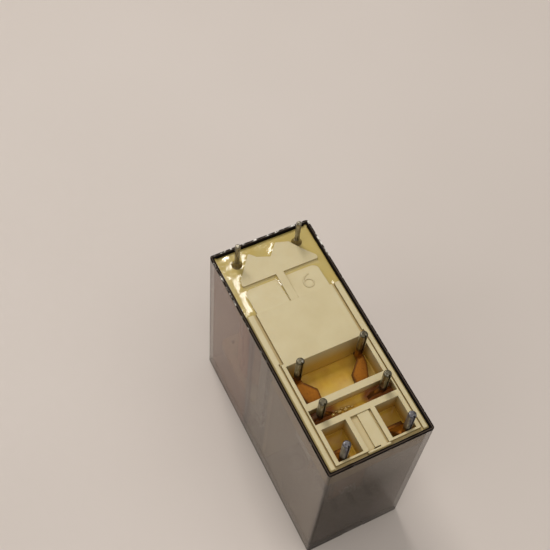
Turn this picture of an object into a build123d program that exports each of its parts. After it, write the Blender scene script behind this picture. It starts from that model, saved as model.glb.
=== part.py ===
from build123d import *
import os
from math import cos, radians, sin

# A flat printed-circuit power relay with one change-over contact, drawn with its terminals pointing up.
# Frame, in millimetres: z = 0 is the seating plane on the base, +Z points out along the terminals,
# +X points to the contact end, and the origin is the middle of the seating plane.

# ---------------------------------------------------------------- driving dimensions
LENGTH = 29.0  # along X
WIDTH = 12.6  # along Y
HEIGHT = 25.5  # from the seating plane to the closed end of the cover
COIL_PIN_OUT = 3.6  # how far the coil terminals stand out of the seating plane
CONTACT_PIN_OUT = 3.0  # the same for the contact terminals
GRID = 2.54  # board grid that all terminals sit on

# cover
COVER_WALL = 0.38
COVER_END_WALL = 0.8
COVER_CORNER_R = 0.35
CAVITY_CORNER_R = 0.2
DIMPLE_R = 1.7
DIMPLE_DEPTH = 0.3
GATE_R = 0.55
NOTCH_WIDTH = 3.0
NOTCH_DEPTH = 0.3
NOTCH_REACH = 0.9
INK_DEPTH = 0.04
INK_STROKE = 0.15

# running and assembly gaps
FIT_GAP = 0.02  # between the base and the cover
RUN_GAP = 0.05  # between parts that slide or turn

# terminals
COIL_PIN_R = 0.3
CONTACT_PIN_R = 0.45
PIN_TIP_R = 0.18
NECK_STEP = 0.04  # how much smaller in radius a terminal is below the seating plane
COIL_WIRE_R = COIL_PIN_R - NECK_STEP
NECK_TOP_Z = -0.05
PIN_ROW_Y = 1.5 * GRID
COIL_PIN_X = -12.4
NC_PIN_X = COIL_PIN_X + 6 * GRID
COM_PIN_X = NC_PIN_X + 2 * GRID
NO_PIN_X = COM_PIN_X + 2 * GRID
SHEET = 0.4  # terminal sheet thickness
SHEET_GAP = 0.03  # between a terminal sheet and its slot in the base
COM_HALF_Y = 2.7  # the common terminal's sheet where it passes through the base
NO_LEG_Y = (2.45, 4.55)
NO_FOOT_DROP = 0.9  # how far the feet slope down from the pins to the sheet
NC_FOOT_DROP = 0.95
FOOT_Z = -2.1  # underside of the feet at the pins
SEAM_WIDTH = 0.2
SEAM_DEPTH = 0.22
SEAM_END_Z = -0.9

# base
BASE_HALF_X = LENGTH / 2 - COVER_WALL - FIT_GAP
BASE_HALF_Y = WIDTH / 2 - COVER_WALL - FIT_GAP
COIL_SIDE_HALF_Y = 4.72  # the plateau beside the coil end
CONTACT_SIDE_HALF_Y = 5.05  # the plateau round the wells
WIDE_X0 = 1.2  # where the plateau widens
LIP_END_X = 13.72
SLAB_BOTTOM = -1.9
POOL_FLOOR = -1.15
LEDGE_Z = -0.08
MOAT_WIDTH = 0.35  # groove between the plateau and the ledge
LIP_MOAT_WIDTH = 0.2  # the same groove beside the wells
MOAT_Z = -0.38
EDGE_CHAMFER = 0.2
DEEP_BOTTOM = -3.9
WELL_FLOOR = -3.2
WELL_RESIN_Z = -2.9
CHANNEL_RESIN_Z = -1.6
POOL_RESIN_Z = -0.4
PLATEAU_X0 = -5.5
DEEP_X0 = 1.1
BIG_WELL = (1.6, 6.4, 4.65)  # x from, x to, half width
BACK_WALL_DRAFT = 0.5
CHANNEL = (7.2, 8.9, 4.9)
SQUARE_WELL_X = (9.6, 13.48)
SQUARE_WELL_Y = (1.75, 4.6)
STRIP_FLOOR_Z = -0.3
STRIP_HALF_Y = 1.2
STRIP_TAB = 0.15  # how far the end ledge reaches past the strip on each side
SLOT_X = (13.6, 13.75)
SLOT_Y = (-0.55, 0.25)
T_BAR_Z = -0.05
PAD_LOW_Z = -0.32
PAD_X0 = -8.85
PAD_CORNER_R = 0.8
STEM_Y = (-0.4, 0.55)
LEFT_PAD_Y = (-0.55, -4.6)  # inner edge, outer edge
RIGHT_PAD_Y = (0.55, 4.5)
DIGIT_RISE = 0.05  # low enough to stay under the seating plane
DIGIT_STROKE = 0.12
DIGIT_BOWL_R = 0.62
DIGIT_TAIL_R = 1.25

# magnet
CORE_X = -8.3
CORE_R = 2.2
CORE_NECK_R = 1.6
POLE_R = 3.5
POLE_THICKNESS = 1.0
POLE_FACE_Z = -21.04
YOKE_HALF_Y = 4.9
YOKE_FOOT = (-11.6, -1.7, -3.4, -2.0)  # x from, x to, z from, z to
YOKE_LEG_X0 = -3.2
YOKE_END_Z = -21.2
YOKE_BEND_R = 0.8

# coil
FLANGE_THICKNESS = 1.0
FLANGE_TOP_Z = -3.5
FLANGE_BOTTOM_Z = -20.0
FLANGE_HALF_X = 5.0
FLANGE_HALF_Y = 5.3
TUBE_R = 2.75
WINDING_R = 4.5
TAPE_THICKNESS = 0.12
TAPE_TOP_Z = -5.9
COIL_POST_Z = -6.1
LEAD_R = 0.09
LEAD_Z = -5.3
WIRE_GAP = 0.02

# armature: a bell crank that turns on the outer corner of the yoke's end
OPEN_ANGLE = radians(3.8)
ARMATURE_THICKNESS = 1.3
ARMATURE_GAP = 0.04
ARMATURE_REACH = 10.4
ARMATURE_WAIST = 1.6
ARMATURE_HALF_Y = 4.6
LEVER_HALF_Y = 3.2
LEVER_TOP_Z = -12.5
SHIM_THICKNESS = 0.1
SPRING_THICKNESS = 0.15
SPRING_RIVET_R = 0.45
SPRING_RIVET_DEPTH = 1.0

# card
CARD_Z = -13.5
CARD_HALF_THICKNESS = 0.6
CARD_NOSE_HALF = 0.3
CARD_HALF_Y = 3.1
CARD_ARM_Y = (2.6, 3.6)

# contacts
CONTACT_Z = -18.5
CONTACT_R = 1.7
CONTACT_SHANK_R = 0.75
CONTACT_TAIL_R = 1.1
CONTACT_TAIL = 0.3
MOVING_HEAD = 0.8
LEAF_THICKNESS = 0.18
LEAF_TOP_Z = -4.0
LEAF_END_Z = -19.9
LEAF_RIVET_Z = -5.2
LEAF_RIVET_Y = 1.3
LEAF_RIVET_R = 0.5
CLOSED_GAP = 0.03  # left between the touching normally closed contacts
OPEN_GAP = 0.89  # contact gap on the normally open side
BLADE_HALF_Y = 2.2
BLADE_END_Z = -20.2

# barrier
BARRIER_X = (0.9, 1.7)
BARRIER_GUIDE_X = 3.6
BARRIER_GUIDE = 0.7


# ---------------------------------------------------------------- shapes used by many parts
def block(x0, x1, y0, y1, z0, z1):
    """A box between two corners."""
    middle = Pos((x0 + x1) / 2, (y0 + y1) / 2, (z0 + z1) / 2)
    return middle * Box(x1 - x0, y1 - y0, z1 - z0)


def rod(x, y, z0, z1, radius):
    """A round bar along Z."""
    return Pos(x, y, (z0 + z1) / 2) * Cylinder(radius, z1 - z0)


def rod_x(x0, x1, y, z, radius):
    """A round bar along X."""
    return Pos((x0 + x1) / 2, y, z) * Rot(0, 90, 0) * Cylinder(radius, x1 - x0)


def prism_y(points, half_width):
    """An outline of (x, z) points, as wide as half_width on both sides of y = 0."""
    face = make_face(Polyline(*[(x, 0, z) for x, z in points], close=True))
    return extrude(face, amount=half_width, dir=(0, 1, 0), both=True)


def prism_x(points, x0, x1):
    """A sheet between x0 and x1 with an outline of (y, z) points."""
    face = make_face(Polyline(*[(x0, y, z) for y, z in points], close=True))
    return extrude(face, amount=x1 - x0, dir=(1, 0, 0))


def prism_z(points, z0, z1, corner=0.0):
    """A plate between z0 and z1 with an outline of (x, y) points and rounded corners."""
    face = make_face(Polyline(*points, close=True))
    if corner:
        face = fillet(face.vertices(), corner)
    return Pos(0, 0, z0) * extrude(face, amount=z1 - z0, dir=(0, 0, 1))


def both_sides(points):
    """An outline of (y, z) points on the +Y side, closed with its mirror image."""
    return points + [(-y, z) for y, z in reversed(points)]


def slab_between(x0, x1, y0, y1, z0, z1):
    """Two equal boxes, one on each side of y = 0."""
    return block(x0, x1, y0, y1, z0, z1) + block(x0, x1, -y1, -y0, z0, z1)


def one_solid(shape, name):
    """Checks that a piece is one connected solid."""
    if len(shape.solids()) != 1:
        raise ValueError(f"{name} has {len(shape.solids())} solids")
    return shape


# ---------------------------------------------------------------- housing
def ink_symbols():
    """Generic printed symbols: two lines of bars, a coil sign, a change-over sign, rings and bars."""
    z0 = -HEIGHT
    z1 = -HEIGHT + INK_DEPTH
    stroke = INK_STROKE
    ink = block(-12.6, -5.0, 4.0, 4.8, z0, z1)
    ink += block(-12.6, -7.2, 2.5, 3.3, z0, z1)
    loop_r = 0.45
    first_x = -11.5
    for index in range(4):
        x = first_x + index * (2 * loop_r - stroke)
        loop = rod(x, 0.2, z0, z1, loop_r) - rod(x, 0.2, z0, z1, loop_r - stroke)
        ink += loop & block(x - 1, x + 1, 0.2, 1, z0, z1)
    last_x = first_x + 3 * (2 * loop_r - stroke)
    ink += block(first_x - loop_r - 0.6, first_x - loop_r + stroke, 0.2 - stroke, 0.2, z0, z1)
    ink += block(last_x + loop_r - stroke, last_x + loop_r + 0.6, 0.2 - stroke, 0.2, z0, z1)
    ink += block(-12.6, -10.1, -3.08, -2.92, z0, z1)
    ink += prism_z([(-10.2, -3.07), (-10.2, -2.93), (-8.8, -2.38), (-8.8, -2.54)], z0, z1)
    for y in (-2.3, -3.7):
        ink += block(-8.4, -6.4, y - stroke / 2, y + stroke / 2, z0, z1)
    for index in range(3):
        y = 3.6 - 2.9 * index
        ink += rod(3.6, y, z0, z1, 1.1) - rod(3.6, y, z0, z1, 1.1 - stroke)
    for index in range(3):
        y = 4.2 - 2.4 * index
        ink += block(6.4, 11.6, y - 0.35, y + 0.35, z0, z1)
    return ink


def make_cover():
    """Thin moulded box, open at the terminal end, with a gate dimple and a vent notch."""
    cover = block(-LENGTH / 2, LENGTH / 2, -WIDTH / 2, WIDTH / 2, -HEIGHT, 0)
    cover = fillet(cover.edges().filter_by(Axis.Z), COVER_CORNER_R)
    cover = fillet(cover.faces().sort_by(Axis.Z)[0].edges(), COVER_CORNER_R / 2)
    half_x = LENGTH / 2 - COVER_WALL
    half_y = WIDTH / 2 - COVER_WALL
    cavity = block(-half_x, half_x, -half_y, half_y, -HEIGHT + COVER_END_WALL, 1)
    cover -= fillet(cavity.edges().filter_by(Axis.Z), CAVITY_CORNER_R)
    cover -= rod(0, 0, -HEIGHT - 1, -HEIGHT + DIMPLE_DEPTH, DIMPLE_R)
    gate_top = -HEIGHT + DIMPLE_DEPTH + 0.1
    cover += rod(0, 0, -HEIGHT + 0.05, gate_top, GATE_R)
    notch_x = LENGTH / 2 - NOTCH_REACH
    notch_z = -HEIGHT + NOTCH_DEPTH
    cover -= block(notch_x, LENGTH, -NOTCH_WIDTH / 2, NOTCH_WIDTH / 2, -HEIGHT - 1, notch_z)
    cover -= ink_symbols()
    return one_solid(cover, "cover")


def digit_six(x, y, z0, z1):
    """Outline of a mould cavity number, a six whose top points to -X and whose right side is +Y."""
    bowl_in = DIGIT_BOWL_R - DIGIT_STROKE
    tail_in = DIGIT_TAIL_R - DIGIT_STROKE
    bowl = rod(x, y, z0, z1, DIGIT_BOWL_R) - rod(x, y, z0, z1, bowl_in)
    tail_y = y + DIGIT_TAIL_R - DIGIT_BOWL_R
    tail = rod(x, tail_y, z0, z1, DIGIT_TAIL_R) - rod(x, tail_y, z0, z1, tail_in)
    tail = tail & block(x - DIGIT_TAIL_R, x, y - DIGIT_BOWL_R, tail_y - DIGIT_STROKE, z0, z1)
    return bowl + tail


def ramp(rise):
    """Solid under the slope that climbs from the coil end up to the plateau."""
    low_x = -9.2
    return prism_y(
        [
            (low_x, POOL_FLOOR - 0.1),
            (low_x, PAD_LOW_Z + rise),
            (PLATEAU_X0, rise),
            (PLATEAU_X0 + 0.2, rise),
            (PLATEAU_X0 + 0.2, POOL_FLOOR - 0.1),
        ],
        COIL_SIDE_HALF_Y,
    )


def coil_end_relief():
    """T-shaped rib, two rounded pads and the mould number in the coil end of the base."""
    low = POOL_FLOOR - 0.1
    bar = prism_z(
        [
            (-9.3, -4.6),
            (-10.2, -4.4),
            (-13.1, -2.1),
            (-12.3, -1.4),
            (-11.7, 0.1),
            (-13.2, 1.4),
            (-12.7, 2.9),
            (-11.3, 3.8),
            (-9.8, 5.0),
            (-9.3, 5.0),
        ],
        low,
        T_BAR_Z,
        corner=0.2,
    )
    stem = block(-9.5, PLATEAU_X0 + 0.1, *STEM_Y, low, T_BAR_Z)
    relief = bar + stem
    pad_x1 = PLATEAU_X0 + PAD_CORNER_R
    for inner, outer in (LEFT_PAD_Y, RIGHT_PAD_Y):
        outline = [(PAD_X0, inner), (pad_x1, inner), (pad_x1, outer), (PAD_X0, outer)]
        pad = prism_z(outline, low, 1, corner=PAD_CORNER_R)
        pad += block(PAD_X0, pad_x1, *sorted((inner, (inner + outer) / 2)), low, 1)
        relief += pad & ramp(0)
    relief += digit_six(-6.75, 2.5, low, 1) & ramp(DIGIT_RISE)
    return relief


def moats():
    """Grooves that set the plateau and the well lips off from the ledge."""
    deep = COIL_SIDE_HALF_Y
    wide = CONTACT_SIDE_HALF_Y
    outer = wide + LIP_MOAT_WIDTH
    jog_x = WIDE_X0 - LIP_MOAT_WIDTH
    cut = slab_between(PLATEAU_X0 - MOAT_WIDTH, WIDE_X0, deep, deep + MOAT_WIDTH, MOAT_Z, 1)
    cut += slab_between(jog_x, WIDE_X0, deep, outer, MOAT_Z, 1)
    cut += slab_between(jog_x, LENGTH, wide, outer, MOAT_Z, 1)
    cut += slab_between(LIP_END_X, LENGTH, STRIP_HALF_Y + STRIP_TAB, outer, MOAT_Z, 1)
    return cut


def sheet_slot(x0, y0, y1):
    """Room for a terminal sheet through the floor, from y0 to y1 on both sides of y = 0."""
    inner = max(y0 - SHEET_GAP, 0)
    return slab_between(x0 - SHEET_GAP, x0 + SHEET + SHEET_GAP, inner, y1 + SHEET_GAP, DEEP_BOTTOM - 1, 0)


def make_base():
    """Moulded plug of the cover: pool and relief at the coil end, plateau, wells and slots."""
    base = block(-BASE_HALF_X, BASE_HALF_X, -BASE_HALF_Y, BASE_HALF_Y, SLAB_BOTTOM, POOL_FLOOR)
    base += block(PLATEAU_X0 - 0.1, BASE_HALF_X, -BASE_HALF_Y, BASE_HALF_Y, SLAB_BOTTOM, LEDGE_Z)
    base += block(DEEP_X0, BASE_HALF_X, -BASE_HALF_Y, BASE_HALF_Y, DEEP_BOTTOM, LEDGE_Z)
    corners = base.edges().filter_by(Axis.Z).filter_by(
        lambda e: abs(e.center().X) > BASE_HALF_X - 0.01 and abs(e.center().Y) > BASE_HALF_Y - 0.01
    )
    base = fillet(corners, CAVITY_CORNER_R + 0.05)
    rim = base.edges().filter_by(
        lambda e: abs(e.center().Z - LEDGE_Z) < 0.01
        and (e.center().X > BASE_HALF_X - 0.01 or abs(e.center().Y) > BASE_HALF_Y - 0.01)
    )
    base = chamfer(rim, EDGE_CHAMFER)
    base -= moats()
    well_x0 = SQUARE_WELL_X[0]
    half = STRIP_HALF_Y
    base += block(PLATEAU_X0, WIDE_X0, -COIL_SIDE_HALF_Y, COIL_SIDE_HALF_Y, SLAB_BOTTOM, 0)
    base += block(WIDE_X0, well_x0, -CONTACT_SIDE_HALF_Y, CONTACT_SIDE_HALF_Y, SLAB_BOTTOM, 0)
    base += slab_between(well_x0, LIP_END_X, half, CONTACT_SIDE_HALF_Y, SLAB_BOTTOM, 0)
    base -= block(well_x0, LIP_END_X, -half, half, STRIP_FLOOR_Z, 1)
    base += block(well_x0, LIP_END_X, -0.4, 0.95, SLAB_BOTTOM, STRIP_FLOOR_Z + 0.2)
    base += coil_end_relief()

    x0, x1, half = BIG_WELL
    base -= prism_y([(x0, 1), (x0, 0), (x0 + BACK_WALL_DRAFT, WELL_FLOOR), (x1, WELL_FLOOR), (x1, 1)], half)
    x0, x1, half = CHANNEL
    base -= block(x0, x1, -half, half, WELL_FLOOR, 1)
    base -= slab_between(*SQUARE_WELL_X, *SQUARE_WELL_Y, WELL_FLOOR, 1)
    base -= block(*SLOT_X, *SLOT_Y, -1, 1)

    base -= sheet_slot(NC_BLADE_X, 0, BLADE_HALF_Y)
    base -= sheet_slot(COM_X0, 0, COM_HALF_Y)
    base -= sheet_slot(NO_LEG_X, *NO_LEG_Y)
    for y in (-PIN_ROW_Y, PIN_ROW_Y):
        base -= rod(COIL_PIN_X, y, SLAB_BOTTOM - 1, 1, COIL_WIRE_R + SHEET_GAP)
    return one_solid(base, "base")


def make_barrier():
    """Wall between the coil and the contacts, with a window and two guides for the card."""
    x0, x1 = BARRIER_X
    low = CARD_Z - CARD_HALF_THICKNESS - RUN_GAP
    high = CARD_Z + CARD_HALF_THICKNESS + RUN_GAP
    wall = block(x0, x1, -BASE_HALF_Y, BASE_HALF_Y, -HEIGHT + COVER_END_WALL + FIT_GAP, DEEP_BOTTOM - RUN_GAP)
    wall += block(x0, BARRIER_GUIDE_X, -CARD_HALF_Y, CARD_HALF_Y, low - BARRIER_GUIDE, high + BARRIER_GUIDE)
    opening = CARD_HALF_Y + RUN_GAP
    wall -= block(x0 - 1, BARRIER_GUIDE_X + 1, -opening, opening, low, high)
    return one_solid(wall, "insulating_barrier")


def make_coil_end_resin(base, pins):
    """Sealing resin that fills the pool around the relief and the coil pins."""
    resin = block(-BASE_HALF_X, PLATEAU_X0, -BASE_HALF_Y, BASE_HALF_Y, POOL_FLOOR, POOL_RESIN_Z)
    resin -= base
    for pin in pins:
        resin -= pin
    solids = sorted(resin.solids(), key=lambda s: -s.volume)
    return Compound([s for s in solids if s.volume > 0.02])


def make_well_resin(base, terminals):
    """Sealing resin on the floors of the wells and of the channel."""
    resin = block(BIG_WELL[0], LIP_END_X, -5.0, 5.0, WELL_FLOOR, WELL_RESIN_Z)
    x0, x1, half = CHANNEL
    resin += block(x0, x1, -half, half, WELL_FLOOR, CHANNEL_RESIN_Z)
    resin -= base
    for terminal in terminals:
        resin -= terminal
    return Compound([s for s in resin.solids() if s.volume > 0.02])


# ---------------------------------------------------------------- coil and magnet
def make_bobbin():
    """Tube with a square flange at each end; the upper flange holds the coil terminals."""
    bobbin = rod(CORE_X, 0, FLANGE_BOTTOM_Z, FLANGE_TOP_Z, TUBE_R)
    for z0 in (FLANGE_BOTTOM_Z, FLANGE_TOP_Z - FLANGE_THICKNESS):
        flange = block(
            CORE_X - FLANGE_HALF_X,
            CORE_X + FLANGE_HALF_X - 0.1,
            -FLANGE_HALF_Y,
            FLANGE_HALF_Y,
            z0,
            z0 + FLANGE_THICKNESS,
        )
        bobbin += fillet(flange.edges().filter_by(Axis.Z), 1.0)
    for y in (-PIN_ROW_Y, PIN_ROW_Y):
        post = block(COIL_PIN_X - 0.8, COIL_PIN_X + 0.4, y - 0.7, y + 0.7, FLANGE_TOP_Z - 0.5, SLAB_BOTTOM - 0.05)
        bobbin += post
        bobbin -= rod(COIL_PIN_X, y, -30, 1, COIL_WIRE_R)
    bobbin -= rod(CORE_X, 0, -30, 1, CORE_R + RUN_GAP)
    return one_solid(bobbin, "coil_bobbin")


def ring(z0, z1, inner, outer):
    """A round sleeve about the core's axis."""
    return rod(CORE_X, 0, z0, z1, outer) - rod(CORE_X, 0, z0, z1, inner)


def make_winding():
    """Enamelled wire between the flanges, as one sleeve."""
    return ring(FLANGE_BOTTOM_Z + FLANGE_THICKNESS, FLANGE_TOP_Z - FLANGE_THICKNESS, TUBE_R, WINDING_R)


def make_tape():
    """Insulating tape round the winding, short of the upper turns."""
    low = FLANGE_BOTTOM_Z + FLANGE_THICKNESS
    return ring(low, TAPE_TOP_Z, WINDING_R, WINDING_R + TAPE_THICKNESS)


def coil_pin(side):
    """Round coil terminal with a rounded tip."""
    y = side * PIN_ROW_Y
    pin = rod(COIL_PIN_X, y, NECK_TOP_Z, COIL_PIN_OUT, COIL_PIN_R)
    pin = fillet(pin.faces().sort_by(Axis.Z)[-1].edges(), PIN_TIP_R)
    return pin + rod(COIL_PIN_X, y, COIL_POST_Z, NECK_TOP_Z, COIL_WIRE_R)


def make_lead_wires():
    """Two winding ends: three turns round each coil post and a straight run to the winding."""
    wires = []
    turn_r = COIL_WIRE_R + LEAD_R + WIRE_GAP
    for side in (-1, 1):
        post = Vector(COIL_PIN_X, side * PIN_ROW_Y, LEAD_Z)
        to_coil = Vector(CORE_X, 0, LEAD_Z) - post
        inward = to_coil.normalized()
        length = to_coil.length - WINDING_R - turn_r - WIRE_GAP
        run_start = Plane(origin=post + inward * turn_r, z_dir=inward)
        wire = run_start * Pos(0, 0, length / 2) * Cylinder(LEAD_R - WIRE_GAP, length)
        for index in (-1, 0, 1):
            wire += Pos(post.X, post.Y, LEAD_Z + index * LEAD_R * 1.8) * Torus(turn_r, LEAD_R)
        wires.append(wire)
    return Compound([wire.solid() for wire in wires])


def make_core():
    """Soft iron core: neck riveted in the yoke, shaft in the bobbin, pole head at the armature."""
    core = rod(CORE_X, 0, YOKE_FOOT[2], YOKE_FOOT[3], CORE_NECK_R)
    core += rod(CORE_X, 0, POLE_FACE_Z + POLE_THICKNESS, YOKE_FOOT[2], CORE_R)
    core += rod(CORE_X, 0, POLE_FACE_Z, POLE_FACE_Z + POLE_THICKNESS, POLE_R)
    return one_solid(core, "magnet_core")


def spring_rivet_places():
    """Places on the yoke's outer face where the armature spring is riveted."""
    return [(-2.4, -8.2), (2.4, -8.2)]


def make_yoke():
    """L-shaped soft iron yoke: foot under the base, leg along the coil."""
    x0, x1, z0, z1 = YOKE_FOOT
    yoke = prism_y(
        [(x0, z0), (x0, z1), (x1, z1), (x1, YOKE_END_Z), (YOKE_LEG_X0, YOKE_END_Z), (YOKE_LEG_X0, z0)],
        YOKE_HALF_Y,
    )
    bend = yoke.edges().filter_by(Axis.Y).filter_by(lambda e: e.center().X > x1 - 0.01 and e.center().Z > z1 - 0.01)
    yoke = fillet(bend, YOKE_BEND_R)
    yoke -= rod(CORE_X, 0, z0 - 1, z1 + 1, CORE_NECK_R)
    for y, z in spring_rivet_places():
        yoke -= rod_x(x1 - SPRING_RIVET_DEPTH, x1, y, z, SPRING_RIVET_R)
    return one_solid(yoke, "magnet_yoke")


def pivot():
    """Turning axis of the armature, as (x, z)."""
    return YOKE_FOOT[1], YOKE_END_Z


def on_plate(along, below):
    """A point of the tilted pole plate: along it from the pivot, and below its inner line."""
    x, z = pivot()
    return (
        x - along * cos(OPEN_ANGLE) + below * sin(OPEN_ANGLE),
        z - along * sin(OPEN_ANGLE) - below * cos(OPEN_ANGLE),
    )


def heel(offset):
    """Corner of the L at one distance outside both faces of the yoke's corner."""
    x, z = pivot()
    along = (offset * sin(OPEN_ANGLE) - offset) / cos(OPEN_ANGLE)
    return on_plate(along, offset)


def make_armature():
    """L-shaped armature, drawn released: pole plate open, lever parallel to the yoke leg."""
    x, z = pivot()
    inner = ARMATURE_GAP
    outer = ARMATURE_GAP + ARMATURE_THICKNESS
    armature = prism_y(
        [
            (x + inner, LEVER_TOP_Z),
            (x + outer, LEVER_TOP_Z),
            heel(outer),
            on_plate(ARMATURE_REACH, outer),
            on_plate(ARMATURE_REACH, inner),
            heel(inner),
        ],
        LEVER_HALF_Y,
    )
    armature += prism_y(
        [
            on_plate(ARMATURE_WAIST, inner),
            on_plate(ARMATURE_WAIST, outer),
            on_plate(ARMATURE_REACH, outer),
            on_plate(ARMATURE_REACH, inner),
        ],
        ARMATURE_HALF_Y,
    )
    return one_solid(armature, "armature")


def make_shim():
    """Thin non-magnetic plate on the armature, under the pole face."""
    top = ARMATURE_GAP - SHIM_THICKNESS
    points = [(3.2, top), (3.2, ARMATURE_GAP), (10.0, ARMATURE_GAP), (10.0, top)]
    return prism_y([on_plate(along, below) for along, below in points], POLE_R)


def make_armature_spring():
    """Leaf on the yoke's outer face: cross bar, two strips past the lever, band under the heel."""
    thick = SPRING_THICKNESS
    x0 = YOKE_FOOT[1]
    low = -22.95
    spring = block(x0, x0 + thick, -YOKE_HALF_Y, YOKE_HALF_Y, -9.6, -6.8)
    spring += slab_between(x0, x0 + thick, LEVER_HALF_Y + 0.3, YOKE_HALF_Y, low, -9.6)
    spring += block(x0 - 1.4, x0 + thick, -YOKE_HALF_Y, YOKE_HALF_Y, low, low + thick)
    for y, z in spring_rivet_places():
        spring -= rod_x(x0 - 1, x0 + 1, y, z, SPRING_RIVET_R)
    return one_solid(spring, "armature_spring")


def make_armature_spring_rivets():
    """Two small rivets that hold the armature spring on the yoke."""
    x0 = YOKE_FOOT[1]
    rivets = []
    for y, z in spring_rivet_places():
        rivet = rod_x(x0 - SPRING_RIVET_DEPTH, x0 + SPRING_THICKNESS, y, z, SPRING_RIVET_R)
        rivet += rod_x(x0 + SPRING_THICKNESS, x0 + 0.5, y, z, SPRING_RIVET_R + 0.3)
        rivets.append(rivet)
    return Compound(rivets)


# ---------------------------------------------------------------- card and contacts
COM_X0 = COM_PIN_X - SHEET / 2
LEAF_X0 = COM_X0 + SHEET
NC_FACE_X = LEAF_X0 - MOVING_HEAD - CLOSED_GAP
NC_BLADE_X = 5.9
NO_FACE_X = LEAF_X0 + LEAF_THICKNESS + MOVING_HEAD + OPEN_GAP
NO_BLADE_X = NO_FACE_X + 0.9
NO_LEG_X = 11.4


def make_card():
    """Moulded slide: a nose at the armature's lever and two arms past the fixed blade."""
    lever_face = YOKE_FOOT[1] + ARMATURE_GAP + ARMATURE_THICKNESS
    z0 = CARD_Z - CARD_HALF_THICKNESS
    z1 = CARD_Z + CARD_HALF_THICKNESS
    nose0 = CARD_Z - CARD_NOSE_HALF
    nose1 = CARD_Z + CARD_NOSE_HALF
    card = block(lever_face + RUN_GAP, 0.5, -2.4, 2.4, nose0, nose1)
    card += block(0.4, 4.9, -CARD_HALF_Y, CARD_HALF_Y, z0, z1)
    card += slab_between(4.2, 7.7, *CARD_ARM_Y, z0, z1)
    card += slab_between(7.6, LEAF_X0 - RUN_GAP, *CARD_ARM_Y, nose0, nose1)
    card -= block(2.3, 3.9, -1.4, 1.4, z0 - 1, z1 + 1)
    return one_solid(card, "actuator_card")


def contact_pin(x, side, z0):
    """Rolled contact terminal with a rounded tip and a seam groove on its +X side, tapered below the seat."""
    y = side * PIN_ROW_Y
    pin = rod(x, y, NECK_TOP_Z, CONTACT_PIN_OUT, CONTACT_PIN_R)
    pin = fillet(pin.faces().sort_by(Axis.Z)[-1].edges(), PIN_TIP_R)
    pin += Pos(x, y, (z0 + NECK_TOP_Z) / 2) * Cone(CONTACT_PIN_R - NECK_STEP, CONTACT_PIN_R, NECK_TOP_Z - z0)
    deep = x + CONTACT_PIN_R - SEAM_DEPTH
    half = SEAM_WIDTH / 2
    pin -= block(deep, x + 1, y - half, y + half, SEAM_END_Z, CONTACT_PIN_OUT + 1)
    return pin


def sloping_foot(outline, level_x, low_x, drop, z0):
    """A sheet foot with an outline of (x, y) points, level at one end and bent down towards low_x."""
    plate = prism_z(outline, z0 - drop - 1, z0 + 1)
    outer_x = 2 * level_x - low_x
    slope = [(outer_x, z0), (level_x, z0), (low_x, z0 - drop)]
    top = [(x, z + SHEET) for x, z in reversed(slope)]
    return plate & prism_y(slope + top, BASE_HALF_Y)


def make_common_terminal():
    """Upright sheet across the channel with two pins; the moving leaf is riveted below it."""
    outline = both_sides(
        [
            (2.1, -3.0),
            (2.1, -1.6),
            (3.4, -0.2),
            (4.2, -0.2),
            (4.8, -0.4),
            (4.8, -3.15),
            (COM_HALF_Y, -3.15),
            (COM_HALF_Y, -6.6),
        ]
    )
    terminal = prism_x(outline, COM_X0, COM_X0 + SHEET)
    for side in (-1, 1):
        terminal += contact_pin(COM_PIN_X, side, -0.9)
    for side in (-1, 1):
        terminal -= rod_x(COM_X0 - 1, COM_X0 + 1, side * LEAF_RIVET_Y, LEAF_RIVET_Z, LEAF_RIVET_R)
    return one_solid(terminal, "common_terminal")


def make_contact_spring():
    """Moving leaf: narrow at its rivets, wide at the card, slotted, rounded at the contact."""
    outline = both_sides(
        [
            (2.4, LEAF_TOP_Z),
            (2.4, -7.0),
            (3.9, -10.5),
            (3.9, -15.0),
            (2.1, -17.0),
            (2.1, LEAF_END_Z + 0.8),
            (1.3, LEAF_END_Z),
        ]
    )
    leaf = prism_x(outline, LEAF_X0, LEAF_X0 + LEAF_THICKNESS)
    leaf -= block(LEAF_X0 - 1, LEAF_X0 + 1, -0.6, 0.6, -15.2, -8.6)
    for side in (-1, 1):
        leaf -= rod_x(LEAF_X0 - 1, LEAF_X0 + 1, side * LEAF_RIVET_Y, LEAF_RIVET_Z, LEAF_RIVET_R + 0.06)
    leaf -= rod_x(LEAF_X0 - 1, LEAF_X0 + 1, 0, CONTACT_Z, CONTACT_SHANK_R)
    return one_solid(leaf, "common_contact_spring")


def make_common_spring_rivets():
    """Two rivets that join the leaf to its terminal, with room for the leaf to bend."""
    rivets = []
    head = 0.3
    free_side = LEAF_X0 + LEAF_THICKNESS + 0.12
    for side in (-1, 1):
        y = side * LEAF_RIVET_Y
        rivet = rod_x(COM_X0, free_side, y, LEAF_RIVET_Z, LEAF_RIVET_R)
        rivet += rod_x(COM_X0 - head, COM_X0, y, LEAF_RIVET_Z, LEAF_RIVET_R + 0.3)
        rivet += rod_x(free_side, free_side + head, y, LEAF_RIVET_Z, LEAF_RIVET_R + 0.2)
        rivets.append(rivet)
    return Compound(rivets)


def contact_head(x0, x1, face_high):
    """Round contact head with its edge rounded on the contact face."""
    head = rod_x(x0, x1, 0, CONTACT_Z, CONTACT_R)
    face = head.faces().sort_by(Axis.X)[-1 if face_high else 0]
    return fillet(face.edges(), 0.25)


def make_moving_contact():
    """Double-faced contact rivet at the leaf's end."""
    back = LEAF_X0 + LEAF_THICKNESS
    contact = contact_head(LEAF_X0 - MOVING_HEAD, LEAF_X0, False)
    contact += rod_x(LEAF_X0, back, 0, CONTACT_Z, CONTACT_SHANK_R)
    contact += contact_head(back, back + MOVING_HEAD, True)
    return one_solid(contact, "moving_contact")


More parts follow.
